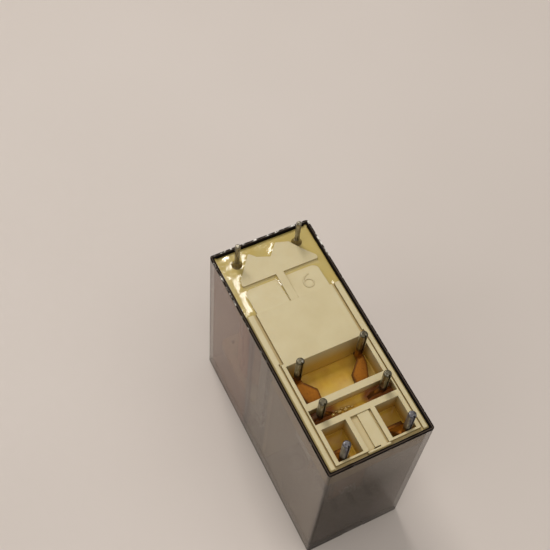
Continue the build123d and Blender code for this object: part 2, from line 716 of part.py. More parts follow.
def make_nc_terminal():
    """Normally closed terminal: two pins, two flat feet and a blade down to its contact."""
    x0 = NC_BLADE_X
    x1 = x0 + SHEET
    shoulder = FOOT_Z - NC_FOOT_DROP
    terminal = prism_x(
        both_sides([(3.6, shoulder + SHEET), (3.6, shoulder), (BLADE_HALF_Y, shoulder), (BLADE_HALF_Y, BLADE_END_Z)]),
        x0,
        x1,
    )
    for side in (-1, 1):
        foot = [(2.4, 3.4), (3.3, 3.35), (4.5, 2.1), (x0, 2.1), (x0, 3.6), (4.5, 4.1), (3.8, 4.26), (2.4, 4.2)]
        terminal += sloping_foot([(x, side * y) for x, y in foot], 3.4, x0 + 0.1, NC_FOOT_DROP, FOOT_Z)
        terminal += contact_pin(NC_PIN_X, side, FOOT_Z)
    terminal -= rod_x(x0 - 1, x1 + 1, 0, CONTACT_Z, CONTACT_SHANK_R)
    return one_solid(terminal, "nc_terminal")


def make_no_terminal():
    """Normally open terminal: two pins, two feet, legs through the base, jogged blade."""
    x0 = NO_LEG_X
    x1 = x0 + SHEET
    bridge_low = -5.2
    jog_high = -6.0
    jog_low = -7.2
    blade_x = NO_BLADE_X
    near, far = NO_LEG_Y
    terminal = block(x0, x1, -far, far, bridge_low, DEEP_BOTTOM - RUN_GAP)
    terminal += slab_between(x0, x1, near, far, bridge_low, FOOT_Z + SHEET - NO_FOOT_DROP)
    terminal += block(x0, x1, -BLADE_HALF_Y, BLADE_HALF_Y, jog_high, bridge_low)
    terminal += prism_y(
        [(x0, jog_high), (x1, jog_high), (blade_x + SHEET, jog_low), (blade_x, jog_low)], BLADE_HALF_Y
    )
    terminal += block(blade_x, blade_x + SHEET, -BLADE_HALF_Y, BLADE_HALF_Y, BLADE_END_Z, jog_low)
    for side in (-1, 1):
        foot = [(13.3, 3.4), (13.3, 4.2), (12.6, far), (x1, far), (x1, near), (12.2, near)]
        terminal += sloping_foot([(x, side * y) for x, y in foot], 12.6, x1 - 0.1, NO_FOOT_DROP, FOOT_Z)
        terminal += contact_pin(NO_PIN_X, side, FOOT_Z)
    terminal -= rod_x(blade_x - 1, blade_x + 1, 0, CONTACT_Z, CONTACT_SHANK_R)
    return one_solid(terminal, "no_terminal")


def fixed_contact(face_x, blade_near, blade_far):
    """Fixed contact rivet from its face, through the blade, to its formed tail."""
    facing_up = face_x > blade_near
    low, high = sorted((face_x, blade_near))
    contact = contact_head(low, high, facing_up)
    low, high = sorted((blade_near, blade_far))
    contact += rod_x(low, high, 0, CONTACT_Z, CONTACT_SHANK_R)
    tail_end = blade_far - CONTACT_TAIL if facing_up else blade_far + CONTACT_TAIL
    low, high = sorted((blade_far, tail_end))
    contact += rod_x(low, high, 0, CONTACT_Z, CONTACT_TAIL_R)
    return one_solid(contact, "fixed contact")


# ---------------------------------------------------------------- build and write
def build_all():
    pins = [coil_pin(-1), coil_pin(1)]
    base = make_base()
    common = make_common_terminal()
    closed = make_nc_terminal()
    opened = make_no_terminal()
    return {
        "cover": make_cover(),
        "cover_marking": Compound(ink_symbols().solids()),
        "base": base,
        "insulating_barrier": make_barrier(),
        "coil_end_resin": make_coil_end_resin(base, pins),
        "contact_well_resin": make_well_resin(base, [common, closed, opened]),
        "coil_bobbin": make_bobbin(),
        "coil_winding": make_winding(),
        "coil_insulation_tape": make_tape(),
        "coil_lead_wires": make_lead_wires(),
        "coil_terminal_a1": pins[0],
        "coil_terminal_a2": pins[1],
        "magnet_core": make_core(),
        "magnet_yoke": make_yoke(),
        "armature": make_armature(),
        "anti_stick_shim": make_shim(),
        "armature_spring": make_armature_spring(),
        "armature_spring_rivets": make_armature_spring_rivets(),
        "actuator_card": make_card(),
        "common_terminal": common,
        "common_contact_spring": make_contact_spring(),
        "common_spring_rivets": make_common_spring_rivets(),
        "moving_contact": make_moving_contact(),
        "nc_terminal": closed,
        "nc_fixed_contact": fixed_contact(NC_FACE_X, NC_BLADE_X + SHEET, NC_BLADE_X),
        "no_terminal": opened,
        "no_fixed_contact": fixed_contact(NO_FACE_X, NO_BLADE_X, NO_BLADE_X + SHEET),
    }


os.makedirs("parts", exist_ok=True)
for node, shape in build_all().items():
    export_step(shape, f"parts/{node}.step")
    print(node, round(shape.volume, 2))
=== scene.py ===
import math

import bmesh
import bpy
import numpy as np
from mathutils import Matrix, Vector, noise
from mathutils.bvhtree import BVHTree


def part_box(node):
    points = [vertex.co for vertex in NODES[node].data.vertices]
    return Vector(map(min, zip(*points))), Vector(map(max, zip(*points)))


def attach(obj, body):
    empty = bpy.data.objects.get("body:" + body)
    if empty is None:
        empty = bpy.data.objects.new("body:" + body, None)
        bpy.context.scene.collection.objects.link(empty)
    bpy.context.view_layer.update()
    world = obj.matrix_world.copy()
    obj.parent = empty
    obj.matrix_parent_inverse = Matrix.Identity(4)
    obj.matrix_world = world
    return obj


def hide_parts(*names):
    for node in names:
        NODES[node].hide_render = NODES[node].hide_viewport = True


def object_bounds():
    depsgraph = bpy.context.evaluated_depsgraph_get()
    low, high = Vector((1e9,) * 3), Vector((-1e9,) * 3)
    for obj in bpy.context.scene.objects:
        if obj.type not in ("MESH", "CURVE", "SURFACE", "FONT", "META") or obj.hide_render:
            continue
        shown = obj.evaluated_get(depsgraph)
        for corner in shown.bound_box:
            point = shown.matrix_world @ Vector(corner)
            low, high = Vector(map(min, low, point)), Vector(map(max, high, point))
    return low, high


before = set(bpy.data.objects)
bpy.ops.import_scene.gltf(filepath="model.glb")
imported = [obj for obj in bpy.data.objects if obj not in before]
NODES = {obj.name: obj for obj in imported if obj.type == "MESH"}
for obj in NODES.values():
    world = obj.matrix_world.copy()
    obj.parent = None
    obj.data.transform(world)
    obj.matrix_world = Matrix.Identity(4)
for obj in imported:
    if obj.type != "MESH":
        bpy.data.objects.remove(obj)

cad_low, cad_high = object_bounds()
MM = 0.001

# Camera: where it stands and how it is turned, in degrees and metres, about the frame's origin.
CAMERA_AZIMUTH = 58.11
CAMERA_ELEVATION = 58.14
CAMERA_ROLL = 6.37
CAMERA_DISTANCE = 0.10988
CAMERA_SHIFT_RIGHT = -0.004615
CAMERA_SHIFT_UP = 0.006947
CAMERA_FOV = 30.46

# Levels that several pieces share, from the CAD.
SEAT_Z = 0.0
POOL_FLOOR_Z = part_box("coil_end_resin")[0].z
POOL_RESIN_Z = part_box("coil_end_resin")[1].z
CHANNEL_RESIN_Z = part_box("contact_well_resin")[1].z
HALF_X = cad_high.x
HALF_Y = cad_high.y

# Where a look changes along x, as the two ends of the change.
CHANNEL_SIDE_FROM = (4.6 * MM, 6.6 * MM)
OUTER_PINS_FROM = (11.4 * MM, 12.2 * MM)

# Liquid surfaces: how far they climb a wall, how uneven they are, and the grid they are made on.
CLIMB_DECAY = 0.32 * MM
RIPPLE_LENGTH = 1.7 * MM
COIL_END_CLIMB = 0.17 * MM
COIL_END_RIPPLE = 0.03 * MM
COIL_END_GRID = 0.12 * MM
WELL_CLIMB = 0.5 * MM
WELL_RIPPLE = 0.08 * MM
WELL_GRID = 0.13 * MM
WALL_STEP = 0.05 * MM
BELOW_WALL_TOP = 0.04 * MM
NOTHING_HIT = -1.0
PROBE_Z = 0.01

# Resin collars round the coil pins. The power sets how hollow their sides are.
COLLAR_REACH = 0.42 * MM
COLLAR_HEIGHT = 0.75 * MM
COLLAR_LEAST = 0.03 * MM
COLLAR_SUNK = 0.05 * MM
COLLAR_POWER = 2.2
COLLAR_STEPS = 8
COLLAR_SEGMENTS = 36

# Resin beads in the channel: how lumpy they are, and how far they are squashed along x and z.
BEAD_LUMP_SIZE = 0.45 * MM
BEAD_LUMP = 0.28
BEAD_SQUASH_X = 0.62
BEAD_SQUASH_Z = 0.75

# Ridges of the winding.
WINDING_TURNS = 72
WINDING_DEPTH = 0.5 * MM
WINDING_SEGMENTS = 72
RIDGE_HEIGHT = 0.07 * MM
RIDGE_STEPS = 4

# Floor and light.
TABLE_HALF_SIDE = 4.0
WARM_LIGHT = (1.0, 0.965, 0.935)
SKY_COLOUR = (0.86, 0.83, 0.80, 1.0)
SKY_STRENGTH = 0.21


# ---------------------------------------------------------------- node helpers
class Shader:
    """One node material, with short names for the nodes that many materials share."""

    def __init__(self, name, **settings):
        self.material = bpy.data.materials.new(name)
        self.material.use_nodes = True
        self.tree = self.material.node_tree
        self.surface = self.tree.nodes["Principled BSDF"]
        self.place = self.tree.nodes.new("ShaderNodeTexCoord").outputs["Object"]
        split = self.tree.nodes.new("ShaderNodeSeparateXYZ")
        self.tree.links.new(self.place, split.inputs[0])
        self.x, self.y, self.z = split.outputs
        for key, value in settings.items():
            self.put(key.replace("_", " ").title().replace("Ior", "IOR"), value)

    def put(self, socket, value):
        """Sets or links one input of the surface shader."""
        self.feed(self.surface.inputs[socket], value)

    def feed(self, socket, value):
        """Links a node output into a socket, or stores a plain value in it."""
        if isinstance(value, bpy.types.NodeSocket):
            self.tree.links.new(value, socket)
        elif socket.type == "RGBA" and len(value) == 3:
            socket.default_value = (*value, 1.0)
        else:
            socket.default_value = value

    def noise(self, size_mm, detail=4.0, rough=0.55, stretch=(1, 1, 1), seed=0.0):
        """Noise whose features are about size_mm across."""
        mapping = self.tree.nodes.new("ShaderNodeMapping")
        self.feed(mapping.inputs["Vector"], self.place)
        self.feed(mapping.inputs["Scale"], stretch)
        self.feed(mapping.inputs["Location"], (seed, seed * 0.7, seed * 1.3))
        texture = self.tree.nodes.new("ShaderNodeTexNoise")
        self.feed(texture.inputs["Vector"], mapping.outputs[0])
        self.feed(texture.inputs["Scale"], 1.0 / (size_mm * MM))
        self.feed(texture.inputs["Detail"], detail)
        self.feed(texture.inputs["Roughness"], rough)
        return texture.outputs["Fac"]

    def cells(self, size_mm):
        """Distance to the nearest cell point, for speckle and pits."""
        texture = self.tree.nodes.new("ShaderNodeTexVoronoi")
        self.feed(texture.inputs["Vector"], self.place)
        self.feed(texture.inputs["Scale"], 1.0 / (size_mm * MM))
        return texture.outputs["Distance"]

    def map(self, value, low, high, to_low=0.0, to_high=1.0, smooth=False):
        """Maps a range of a value to another range, clamped."""
        node = self.tree.nodes.new("ShaderNodeMapRange")
        if smooth:
            node.interpolation_type = "SMOOTHSTEP"
        self.feed(node.inputs["Value"], value)
        self.feed(node.inputs["From Min"], low)
        self.feed(node.inputs["From Max"], high)
        self.feed(node.inputs["To Min"], to_low)
        self.feed(node.inputs["To Max"], to_high)
        return node.outputs["Result"]

    def math(self, operation, a, b=0.0):
        """One arithmetic step."""
        node = self.tree.nodes.new("ShaderNodeMath")
        node.operation = operation
        self.feed(node.inputs[0], a)
        self.feed(node.inputs[1], b)
        return node.outputs[0]

    def times(self, a, b):
        """Product of two values."""
        return self.math("MULTIPLY", a, b)

    def plus(self, a, b):
        """Sum of two values."""
        return self.math("ADD", a, b)

    def larger(self, a, b):
        """The larger of two values."""
        return self.math("MAXIMUM", a, b)

    def size(self, a):
        """A value without its sign."""
        return self.math("ABSOLUTE", a)

    def band(self, value, rise, fall):
        """1 between two soft edges, each given as the two values where it starts and ends."""
        return self.times(self.map(value, *rise), self.map(value, *fall, 1.0, 0.0))

    def mix(self, share, first, second):
        """Mixes two colours."""
        node = self.tree.nodes.new("ShaderNodeMix")
        node.data_type = "RGBA"
        self.feed(node.inputs["Factor"], share)
        self.feed(node.inputs["A"], first)
        self.feed(node.inputs["B"], second)
        return node.outputs["Result"]

    def crevice(self, reach_mm, inside=False):
        """1 in the open and towards 0 in corners and grooves, or along outer edges when taken inside."""
        node = self.tree.nodes.new("ShaderNodeAmbientOcclusion")
        node.samples = 6
        node.inside = inside
        self.feed(node.inputs["Distance"], reach_mm * MM)
        return node.outputs["AO"]

    def facing(self):
        """0 where the surface faces the eye and 1 at grazing angles."""
        node = self.tree.nodes.new("ShaderNodeLayerWeight")
        self.feed(node.inputs["Blend"], 0.5)
        return node.outputs["Facing"]

    def bump(self, height, depth_mm, strength, edge_mm=0.0):
        """Raises the surface by a height of 0 to 1 times depth_mm, and rounds edges over edge_mm."""
        node = self.tree.nodes.new("ShaderNodeBump")
        self.feed(node.inputs["Strength"], strength)
        self.feed(node.inputs["Distance"], depth_mm * MM)
        self.feed(node.inputs["Height"], height)
        if edge_mm:
            soft_edge = self.tree.nodes.new("ShaderNodeBevel")
            soft_edge.samples = 4
            self.feed(soft_edge.inputs["Radius"], edge_mm * MM)
            self.feed(node.inputs["Normal"], soft_edge.outputs[0])
        self.put("Normal", node.outputs[0])


# ---------------------------------------------------------------- materials
def moulded_plastic(name, light, shade, roughness=0.42, deep=None):
    """Satin engineering plastic: faint cloudiness, painted shade in corners and grooves, fine spark-eroded
    texture.

    deep is the colour that the walls take on below the seat, down to the resin.
    """
    s = Shader(name, specular_ior_level=0.45)
    cloud = s.map(s.noise(3.2, 3.0), 0.35, 0.7)
    colour = s.mix(s.times(cloud, 0.22), light, shade)
    # Painted shade: corners and grooves are darkened towards the shade colour.
    open_air = s.map(s.crevice(0.9), 0.35, 0.95)
    colour = s.mix(open_air, shade, colour)
    if deep is not None:
        colour = s.mix(s.map(s.z, -0.2 * MM, -1.9 * MM), colour, deep)
    s.put("Base Color", colour)
    s.put("Roughness", s.map(s.noise(0.5, 5.0), 0.3, 0.7, roughness - 0.07, roughness + 0.1))
    s.put("Subsurface Weight", 0.12)
    s.put("Subsurface Radius", (1.0, 0.7, 0.35))
    s.put("Subsurface Scale", 0.6 * MM)
    s.bump(s.noise(0.09, 3.0), 0.012, 0.35, 0.09)
    return s.material


def cover_gap_shade_lines(s):
    """Painted shade: dark upright lines where the yoke's gap and the barrier stand against the cover's walls.
    """
    yoke_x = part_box("coil_bobbin")[1].x
    barrier_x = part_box("insulating_barrier")[0].x
    from_yoke = s.size(s.math("SUBTRACT", s.x, yoke_x))
    from_barrier = s.size(s.math("SUBTRACT", s.x, barrier_x))
    yoke_line = s.map(from_yoke, 0.15 * MM, 0.9 * MM, 0.85, 0.0)
    barrier_line = s.map(from_barrier, 0.05 * MM, 0.2 * MM, 0.6, 0.0)
    return s.larger(yoke_line, barrier_line)


def cover_thickness_and_gap_shade(s):
    """How thick the tint looks, most at the upright corners and the closed end's edge, with the painted shade
    lines of the gaps added.
    """
    corner_x = s.map(s.size(s.x), HALF_X - 0.75 * MM, HALF_X - 0.2 * MM)
    corner_y = s.map(s.size(s.y), HALF_Y - 0.75 * MM, HALF_Y - 0.2 * MM)
    corner = s.times(corner_x, corner_y)
    foot = s.map(s.z, cad_low.z + 0.15 * MM, cad_low.z + 0.9 * MM, 1.0, 0.0, smooth=True)
    thick = s.larger(s.times(corner, 0.75), s.times(foot, 0.7))
    return s.larger(thick, cover_gap_shade_lines(s))


def cover_contact_end(s):
    """The end wall at the outer contacts, with painted shade: darker downwards and lighter towards +Y."""
    on_wall = s.map(s.x, HALF_X - 0.3 * MM, HALF_X - 0.05 * MM)
    downwards = s.map(s.z, 0.0, -9.0 * MM, 0.45, 0.94)
    sideways = s.map(s.y, 1.0 * MM, HALF_Y, 1.0, 0.62)
    return s.times(s.times(on_wall, downwards), sideways)


def cover_lip_wear_and_glints(s, outwards):
    """Light flecks on the outer edge of the rim, partly wear and partly painted glints, more of them at the
    coil end.
    """
    reach = s.map(s.x, -HALF_X, -6.0 * MM, -0.2 * MM, -0.09 * MM)
    outside = s.map(outwards, reach, s.plus(reach, 0.06 * MM))
    lip = s.times(outside, s.map(s.z, -0.12 * MM, -0.06 * MM))
    threshold = s.map(s.x, -12.0 * MM, 6.0 * MM, 0.54, 0.62)
    speckle = s.noise(0.55, 5.0, 0.7, (1, 1, 1), 2.0)
    return s.times(lip, s.map(speckle, threshold, s.plus(threshold, 0.06)))


def smoky_cover():
    """Smoke-tinted clear moulding: dark along its rim and corners, with painted shade on the contact end and
    along the gaps behind it, a painted highlight and painted glints on the rim, the coil's red painted on
    beside the coil, glossy, lightly scuffed.
    """
    s = Shader("smoky_cover", ior=1.58)
    haze = s.map(s.noise(5.0, 3.0), 0.3, 0.7)
    body = s.mix(haze, (0.275, 0.222, 0.168), (0.345, 0.283, 0.220))
    # Painted show-through: the coil's red, seen through the cover, is painted onto the cover beside the coil.
    coil_low, coil_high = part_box("coil_winding")
    margin = 1.5 * MM
    beside_coil = s.band(s.x, (coil_low.x - margin, coil_low.x), (coil_high.x, coil_high.x + margin))
    body = s.mix(s.times(beside_coil, 0.68), body, (0.34, 0.185, 0.125))
    # thick also carries the painted shade lines of the gaps behind the walls.
    thick = cover_thickness_and_gap_shade(s)
    colour = s.mix(thick, body, (0.05, 0.042, 0.036))
    # Painted shade: the contact end's wall darkens downwards.
    contact_end = cover_contact_end(s)
    colour = s.mix(contact_end, colour, (0.020, 0.012, 0.007))
    edge_x = s.math("SUBTRACT", s.size(s.x), HALF_X)
    edge_y = s.math("SUBTRACT", s.size(s.y), HALF_Y)
    outwards = s.larger(edge_x, edge_y)
    top_face = s.map(s.z, -0.28 * MM, -0.06 * MM, smooth=True)
    inner_face = s.map(outwards, -0.36 * MM, -0.3 * MM, 1.0, 0.0)
    rim = s.larger(top_face, s.times(inner_face, s.map(s.z, -1.7 * MM, -1.3 * MM)))
    # Painted highlight: a lighter line along the middle of the dark rim.
    middle = s.band(outwards, (-0.24 * MM, -0.2 * MM), (-0.16 * MM, -0.12 * MM))
    colour = s.mix(rim, colour, s.mix(middle, (0.007, 0.005, 0.004), (0.085, 0.062, 0.046)))
    # Light flecks on the rim's outer edge: wear and painted glints.
    s.put("Base Color", s.mix(cover_lip_wear_and_glints(s, outwards), colour, (0.86, 0.84, 0.76)))
    graze = s.math("POWER", s.facing(), 1.6)
    alpha = s.plus(0.28, s.times(graze, 0.42))
    alpha = s.larger(alpha, s.times(thick, 0.92))
    alpha = s.larger(alpha, rim)
    s.put("Alpha", s.math("MINIMUM", alpha, 1.0))
    scuff = s.map(s.noise(1.4, 8.0, 0.7, (0.35, 0.35, 1.0), 3.0), 0.45, 0.75)
    rough = s.plus(0.1, s.times(scuff, 0.14))
    s.put("Roughness", s.larger(rough, s.times(rim, 0.65)))
    dull = s.larger(rim, contact_end)
    s.put("Specular IOR Level", s.map(dull, 0.0, 1.0, 0.5, 0.02))
    s.bump(s.noise(2.6, 2.0), 0.02, 0.12)
    return s.material


def resin_beside_terminal(s, colour, channel_ends, channel_side):
    """Colour that the metal and the walls give to the well resin about the common terminal.

    channel_side is the lighter tint in the big well, towards the channel.
    shallow is the tint in the big well, where the resin thins out towards the channel.
    """
    low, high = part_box("common_terminal")
    ragged_y = s.plus(s.size(s.y), s.times(s.noise(0.9), 0.9 * MM))
    along = s.map(ragged_y, 1.7 * MM, 2.6 * MM)
    across = s.band(s.x, (low.x - 0.5 * MM, low.x - 0.3 * MM), (high.x + 0.5 * MM, high.x + 0.7 * MM))
    colour = s.mix(s.times(along, across), colour, channel_ends)
    ragged_x = s.plus(s.x, s.times(s.noise(2.2), 1.4 * MM))
    towards_channel = s.map(ragged_x, *CHANNEL_SIDE_FROM)
    before_channel = s.map(s.x, low.x - 1.0 * MM, low.x - 0.8 * MM, 0.75, 0.0)
    return s.mix(s.times(towards_channel, before_channel), colour, channel_side)


def sealing_resin(name, thin, thick, alpha, gloss=1.0, channel_ends=None, channel_side=None):
    """Cast resin: cloudy colour, painted shade in corners and grooves, a few tiny bubbles, and a wet surface
    where gloss is 1.
    """
    s = Shader(name, ior=1.53, specular_ior_level=0.1 + 0.4 * gloss)
    cloud = s.map(s.noise(1.6, 4.0), 0.32, 0.68)
    colour = s.mix(cloud, thin, thick)
    # Painted shade: corners and grooves are darkened towards the thick colour.
    open_air = s.map(s.crevice(0.7), 0.3, 0.9)
    colour = s.mix(open_air, thick, colour)
    if channel_ends is not None:
        colour = resin_beside_terminal(s, colour, channel_ends, channel_side)
    s.put("Base Color", colour)
    s.put("Alpha", s.math("MINIMUM", s.plus(alpha, s.times(cloud, 0.18)), 1.0))
    dull = 0.3 * (1 - gloss)
    s.put("Roughness", s.map(s.noise(0.8), 0.3, 0.75, 0.035 + dull, 0.12 + dull))
    s.put("Coat Weight", 0.5 * gloss)
    s.put("Coat Roughness", 0.03)
    bubble = s.map(s.cells(0.42), 0.05, 0.16, 1.0, 0.0)
    s.bump(s.plus(s.noise(0.9, 2.0), s.times(bubble, 0.5)), 0.05, 0.3)
    return s.material


def terminal_metal():
    """Copper alloy sheet, dull tinned on the pins, with a dark flux band where the tin ends."""
    s = Shader("terminal_metal")
    grain = s.noise(0.35, 6.0, 0.65, (1, 1, 0.25))
    ragged = s.times(s.math("SUBTRACT", s.noise(0.5), 0.5), 0.35 * MM)
    level = s.plus(s.z, ragged)
    copper = s.mix(s.map(grain, 0.3, 0.7), (0.22, 0.073, 0.006), (0.36, 0.135, 0.012))
    sheet_edge = s.map(s.crevice(0.3, inside=True), 0.6, 0.97, 0.85, 0.0)
    copper = s.mix(sheet_edge, copper, (0.055, 0.018, 0.004))
    olive = s.mix(s.map(grain, 0.3, 0.7), (0.10, 0.085, 0.05), (0.34, 0.30, 0.19))
    grey = s.mix(s.map(grain, 0.3, 0.7), (0.12, 0.12, 0.14), (0.44, 0.44, 0.50))
    outer_pair = s.map(s.x, *OUTER_PINS_FROM)
    tin = s.mix(outer_pair, olive, grey)
    bright = s.map(s.noise(0.22, 3.0, 0.6, (1, 1, 0.2), 5.0), 0.55, 0.68)
    tin = s.mix(s.times(bright, 0.8), tin, (0.66, 0.64, 0.58))
    cut_tip = s.map(level, cad_high.z - 0.9 * MM, cad_high.z - 0.7 * MM)
    tin = s.mix(s.times(cut_tip, 0.6), tin, (0.05, 0.042, 0.03))
    tinned = s.map(level, -0.15 * MM, 0.05 * MM)
    flux = s.band(level, (-0.6 * MM, -0.25 * MM), (0.1 * MM, 0.35 * MM))
    colour = s.mix(tinned, copper, tin)
    s.put("Base Color", s.mix(s.times(flux, 0.85), colour, (0.035, 0.02, 0.012)))
    s.put("Metallic", s.map(tinned, 0.0, 1.0, 0.5, 0.9))
    s.put("Specular IOR Level", s.map(tinned, 0.0, 1.0, 0.15, 0.5))
    s.put("Roughness", s.map(grain, 0.3, 0.7, 0.24, 0.46))
    s.bump(grain, 0.02, 0.5)
    return s.material


def plain_metal(name, dark, light, roughness, stretch=(1, 1, 1)):
    """Rolled, plated or turned metal with grain and faint tarnish."""
    s = Shader(name)
    grain = s.noise(0.3, 6.0, 0.65, stretch)
    stain = s.map(s.noise(2.4, 3.0, 0.5, (1, 1, 1), 9.0), 0.4, 0.72)
    colour = s.mix(s.map(grain, 0.3, 0.7), dark, light)
    s.put("Base Color", s.mix(s.times(stain, 0.4), colour, dark))
    s.put("Metallic", 1.0)
    s.put("Roughness", s.map(grain, 0.3, 0.7, roughness - 0.06, roughness + 0.12))
    s.bump(grain, 0.012, 0.4)
    return s.material


def coil_pin_metal():
    """Thin tinned wire, stained dark brown near the resin."""
    s = Shader("coil_pin_metal")
    grain = s.noise(0.25, 5.0, 0.6, (1, 1, 0.3))
    tin = s.mix(s.map(grain, 0.35, 0.65), (0.11, 0.095, 0.06), (0.46, 0.42, 0.32))
    stain = s.map(s.z, -0.3 * MM, 1.6 * MM, 1.0, 0.0, smooth=True)
    s.put("Base Color", s.mix(s.times(stain, 0.85), tin, (0.06, 0.032, 0.012)))
    s.put("Metallic", 0.85)
    s.put("Roughness", s.map(grain, 0.3, 0.7, 0.22, 0.42))
    s.bump(grain, 0.015, 0.4)
    return s.material


def wound_wire():
    """Enamelled copper wire with glossy turns."""
    s = Shader("wound_wire", coat_weight=0.7, coat_roughness=0.08)
    tone = s.noise(0.35, 3.0, 0.5, (0.3, 0.3, 3.0))
    s.put("Base Color", s.mix(s.map(tone, 0.35, 0.65), (0.42, 0.09, 0.025), (0.70, 0.21, 0.06)))
    s.put("Metallic", 0.55)
    s.put("Roughness", s.map(tone, 0.3, 0.7, 0.25, 0.4))
    s.bump(tone, 0.01, 0.3)
    return s.material


def film_tape():
    """Reddish amber polyester film over the winding, glossy and faintly wrinkled."""
    s = Shader("film_tape", coat_weight=0.6, coat_roughness=0.1)
    wrinkle = s.noise(1.1, 4.0, 0.6, (1, 1, 0.2))
    s.put("Base Color", s.mix(s.map(wrinkle, 0.35, 0.65), (0.50, 0.14, 0.06), (0.64, 0.22, 0.10)))
    s.put("Roughness", s.map(wrinkle, 0.3, 0.7, 0.22, 0.38))
    s.bump(wrinkle, 0.05, 0.5)
    return s.material


def pad_ink():
    """White pad print, thin and slightly broken."""
    s = Shader("pad_ink")
    worn = s.map(s.noise(0.35, 6.0, 0.7), 0.5, 0.72)
    s.put("Base Color", s.mix(worn, (0.80, 0.80, 0.77), (0.52, 0.50, 0.46)))
    s.put("Roughness", s.map(s.noise(0.2), 0.3, 0.7, 0.5, 0.7))
    s.bump(s.noise(0.15), 0.008, 0.4)
    return s.material


def table_top():
    """Pale warm table, nearly even."""
    s = Shader("table_top", specular_ior_level=0.3)
    cloud = s.map(s.noise(60.0, 3.0), 0.3, 0.7)
    s.put("Base Color", s.mix(cloud, (0.625, 0.563, 0.510), (0.655, 0.592, 0.540)))
    s.put("Roughness", s.map(s.noise(1.0), 0.3, 0.7, 0.5, 0.62))
    s.bump(s.noise(0.4, 3.0), 0.02, 0.1)
    return s.material


def use(material, *names):
    """Gives one material to CAD nodes."""
    for name in names:
        data = NODES[name].data
        data.materials.clear()
        data.materials.append(material)


# ---------------------------------------------------------------- mesh helpers
def add_piece(name, mesh_builder, material):
    """Makes a smooth object from a bmesh, gives it a material and lets it ride on the housing."""
    mesh = bpy.data.meshes.new(name)
    bmesh.ops.recalc_face_normals(mesh_builder, faces=mesh_builder.faces)
    mesh_builder.to_mesh(mesh)
    mesh_builder.free()
    for face in mesh.polygons:
        face.use_smooth = True
    mesh.materials.append(material)
    piece = bpy.data.objects.new(name, mesh)
    bpy.context.scene.collection.objects.link(piece)
    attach(piece, "housing")
    return piece


def cad_tree(*names):
    """One search tree over the meshes of several CAD nodes."""
    points, faces = [], []
    for name in names:
        mesh = NODES[name].data
        start = len(points)
        points += [v.co.copy() for v in mesh.vertices]
        faces += [[start + i for i in p.vertices] for p in mesh.polygons]
    return BVHTree.FromPolygons(points, faces)


def lathe(builder, profile, axis_x, axis_y, segments):
    """Turns (radius, z) points about a vertical axis into a closed ring of faces."""
    rings = []
    for k in range(segments):
        angle = 2 * math.pi * k / segments
        c, s = math.cos(angle), math.sin(angle)
        rings.append([builder.verts.new((axis_x + r * c, axis_y + r * s, z)) for r, z in profile])
    count = len(profile)
    for k in range(segments):
        here, after = rings[k], rings[(k + 1) % segments]
        for i in range(count):
            j = (i + 1) % count
            builder.faces.new((here[i], after[i], after[j], here[j]))


# ---------------------------------------------------------------- cast resin
def cad_heights(tree, xs, ys):
    """Height of the CAD surface under each point of a grid."""
    height = np.full((len(xs), len(ys)), NOTHING_HIT)
    for i, x in enumerate(xs):
        for j, y in enumerate(ys):
            hit = tree.ray_cast(Vector((x, y, PROBE_Z)), Vector((0, 0, -1)))[0]
            if hit:
                height[i, j] = hit.z
    return height


def liquid_heights(xs, ys, height, level, climb, ripple):
    """Heights of a liquid surface that climbs its walls and is slightly uneven.

    Where the CAD surface is above the level, there is a wall, and so there is on the grid's border.
    """
    wall = height > level + WALL_STEP
    wall[0, :] = wall[-1, :] = True
    wall[:, 0] = wall[:, -1] = True
    gx, gy = np.meshgrid(xs, ys, indexing="ij")
    wall_points = np.stack([gx[wall], gy[wall]], 1)
    known = height[wall] > NOTHING_HIT
    wall_tops = np.where(known, np.clip(height[wall], level, SEAT_Z), SEAT_Z)
    top = np.zeros_like(height)
    for i in range(len(xs)):
        gap = np.hypot(gx[i][:, None] - wall_points[:, 0], gy[i][:, None] - wall_points[:, 1])
        nearest = gap.argmin(1)
        distance = gap[np.arange(len(ys)), nearest]
        room = np.maximum(wall_tops[nearest] - level - BELOW_WALL_TOP, 0.0)
        top[i] = level + np.minimum(room, climb) * np.exp(-distance / CLIMB_DECAY)
    for i, x in enumerate(xs):
        for j, y in enumerate(ys):
            top[i, j] += ripple * noise.noise(Vector((x, y, 0.0)) / RIPPLE_LENGTH)
    return top


def close_pool(builder, xs, ys, top, floor):
    """Faces of a closed solid between a grid of heights and a flat floor."""
    nx = len(xs) - 1
    ny = len(ys) - 1
    upper = [[builder.verts.new((x, y, top[i, j])) for j, y in enumerate(ys)] for i, x in enumerate(xs)]
    lower = [[builder.verts.new((x, y, floor)) for y in ys] for x in xs]
    for i in range(nx):
        for j in range(ny):
            builder.faces.new((upper[i][j], upper[i + 1][j], upper[i + 1][j + 1], upper[i][j + 1]))
            builder.faces.new((lower[i][j], lower[i][j + 1], lower[i + 1][j + 1], lower[i + 1][j]))
    for i in range(nx):
        for j in (0, ny):
            builder.faces.new((upper[i][j], upper[i + 1][j], lower[i + 1][j], lower[i][j]))
    for j in range(ny):
        for i in (0, nx):
            builder.faces.new((upper[i][j], upper[i][j + 1], lower[i][j + 1], lower[i][j]))


def resin_solid(builder, tree, region, level, floor, climb, ripple, step):
    """A pool over a region (x from, x to, y from, y to), with a liquid surface.

    The surface keeps on under the walls, out of sight, so that the pool is one closed solid.
    """
    x0, x1, y0, y1 = region
    nx = max(2, int(round((x1 - x0) / step)))
    ny = max(2, int(round((y1 - y0) / step)))
    xs = np.linspace(x0, x1, nx + 1)
    ys = np.linspace(y0, y1, ny + 1)
    height = cad_heights(tree, xs, ys)
    top = liquid_heights(xs, ys, height, level, climb, ripple)
    close_pool(builder, xs, ys, top, floor)


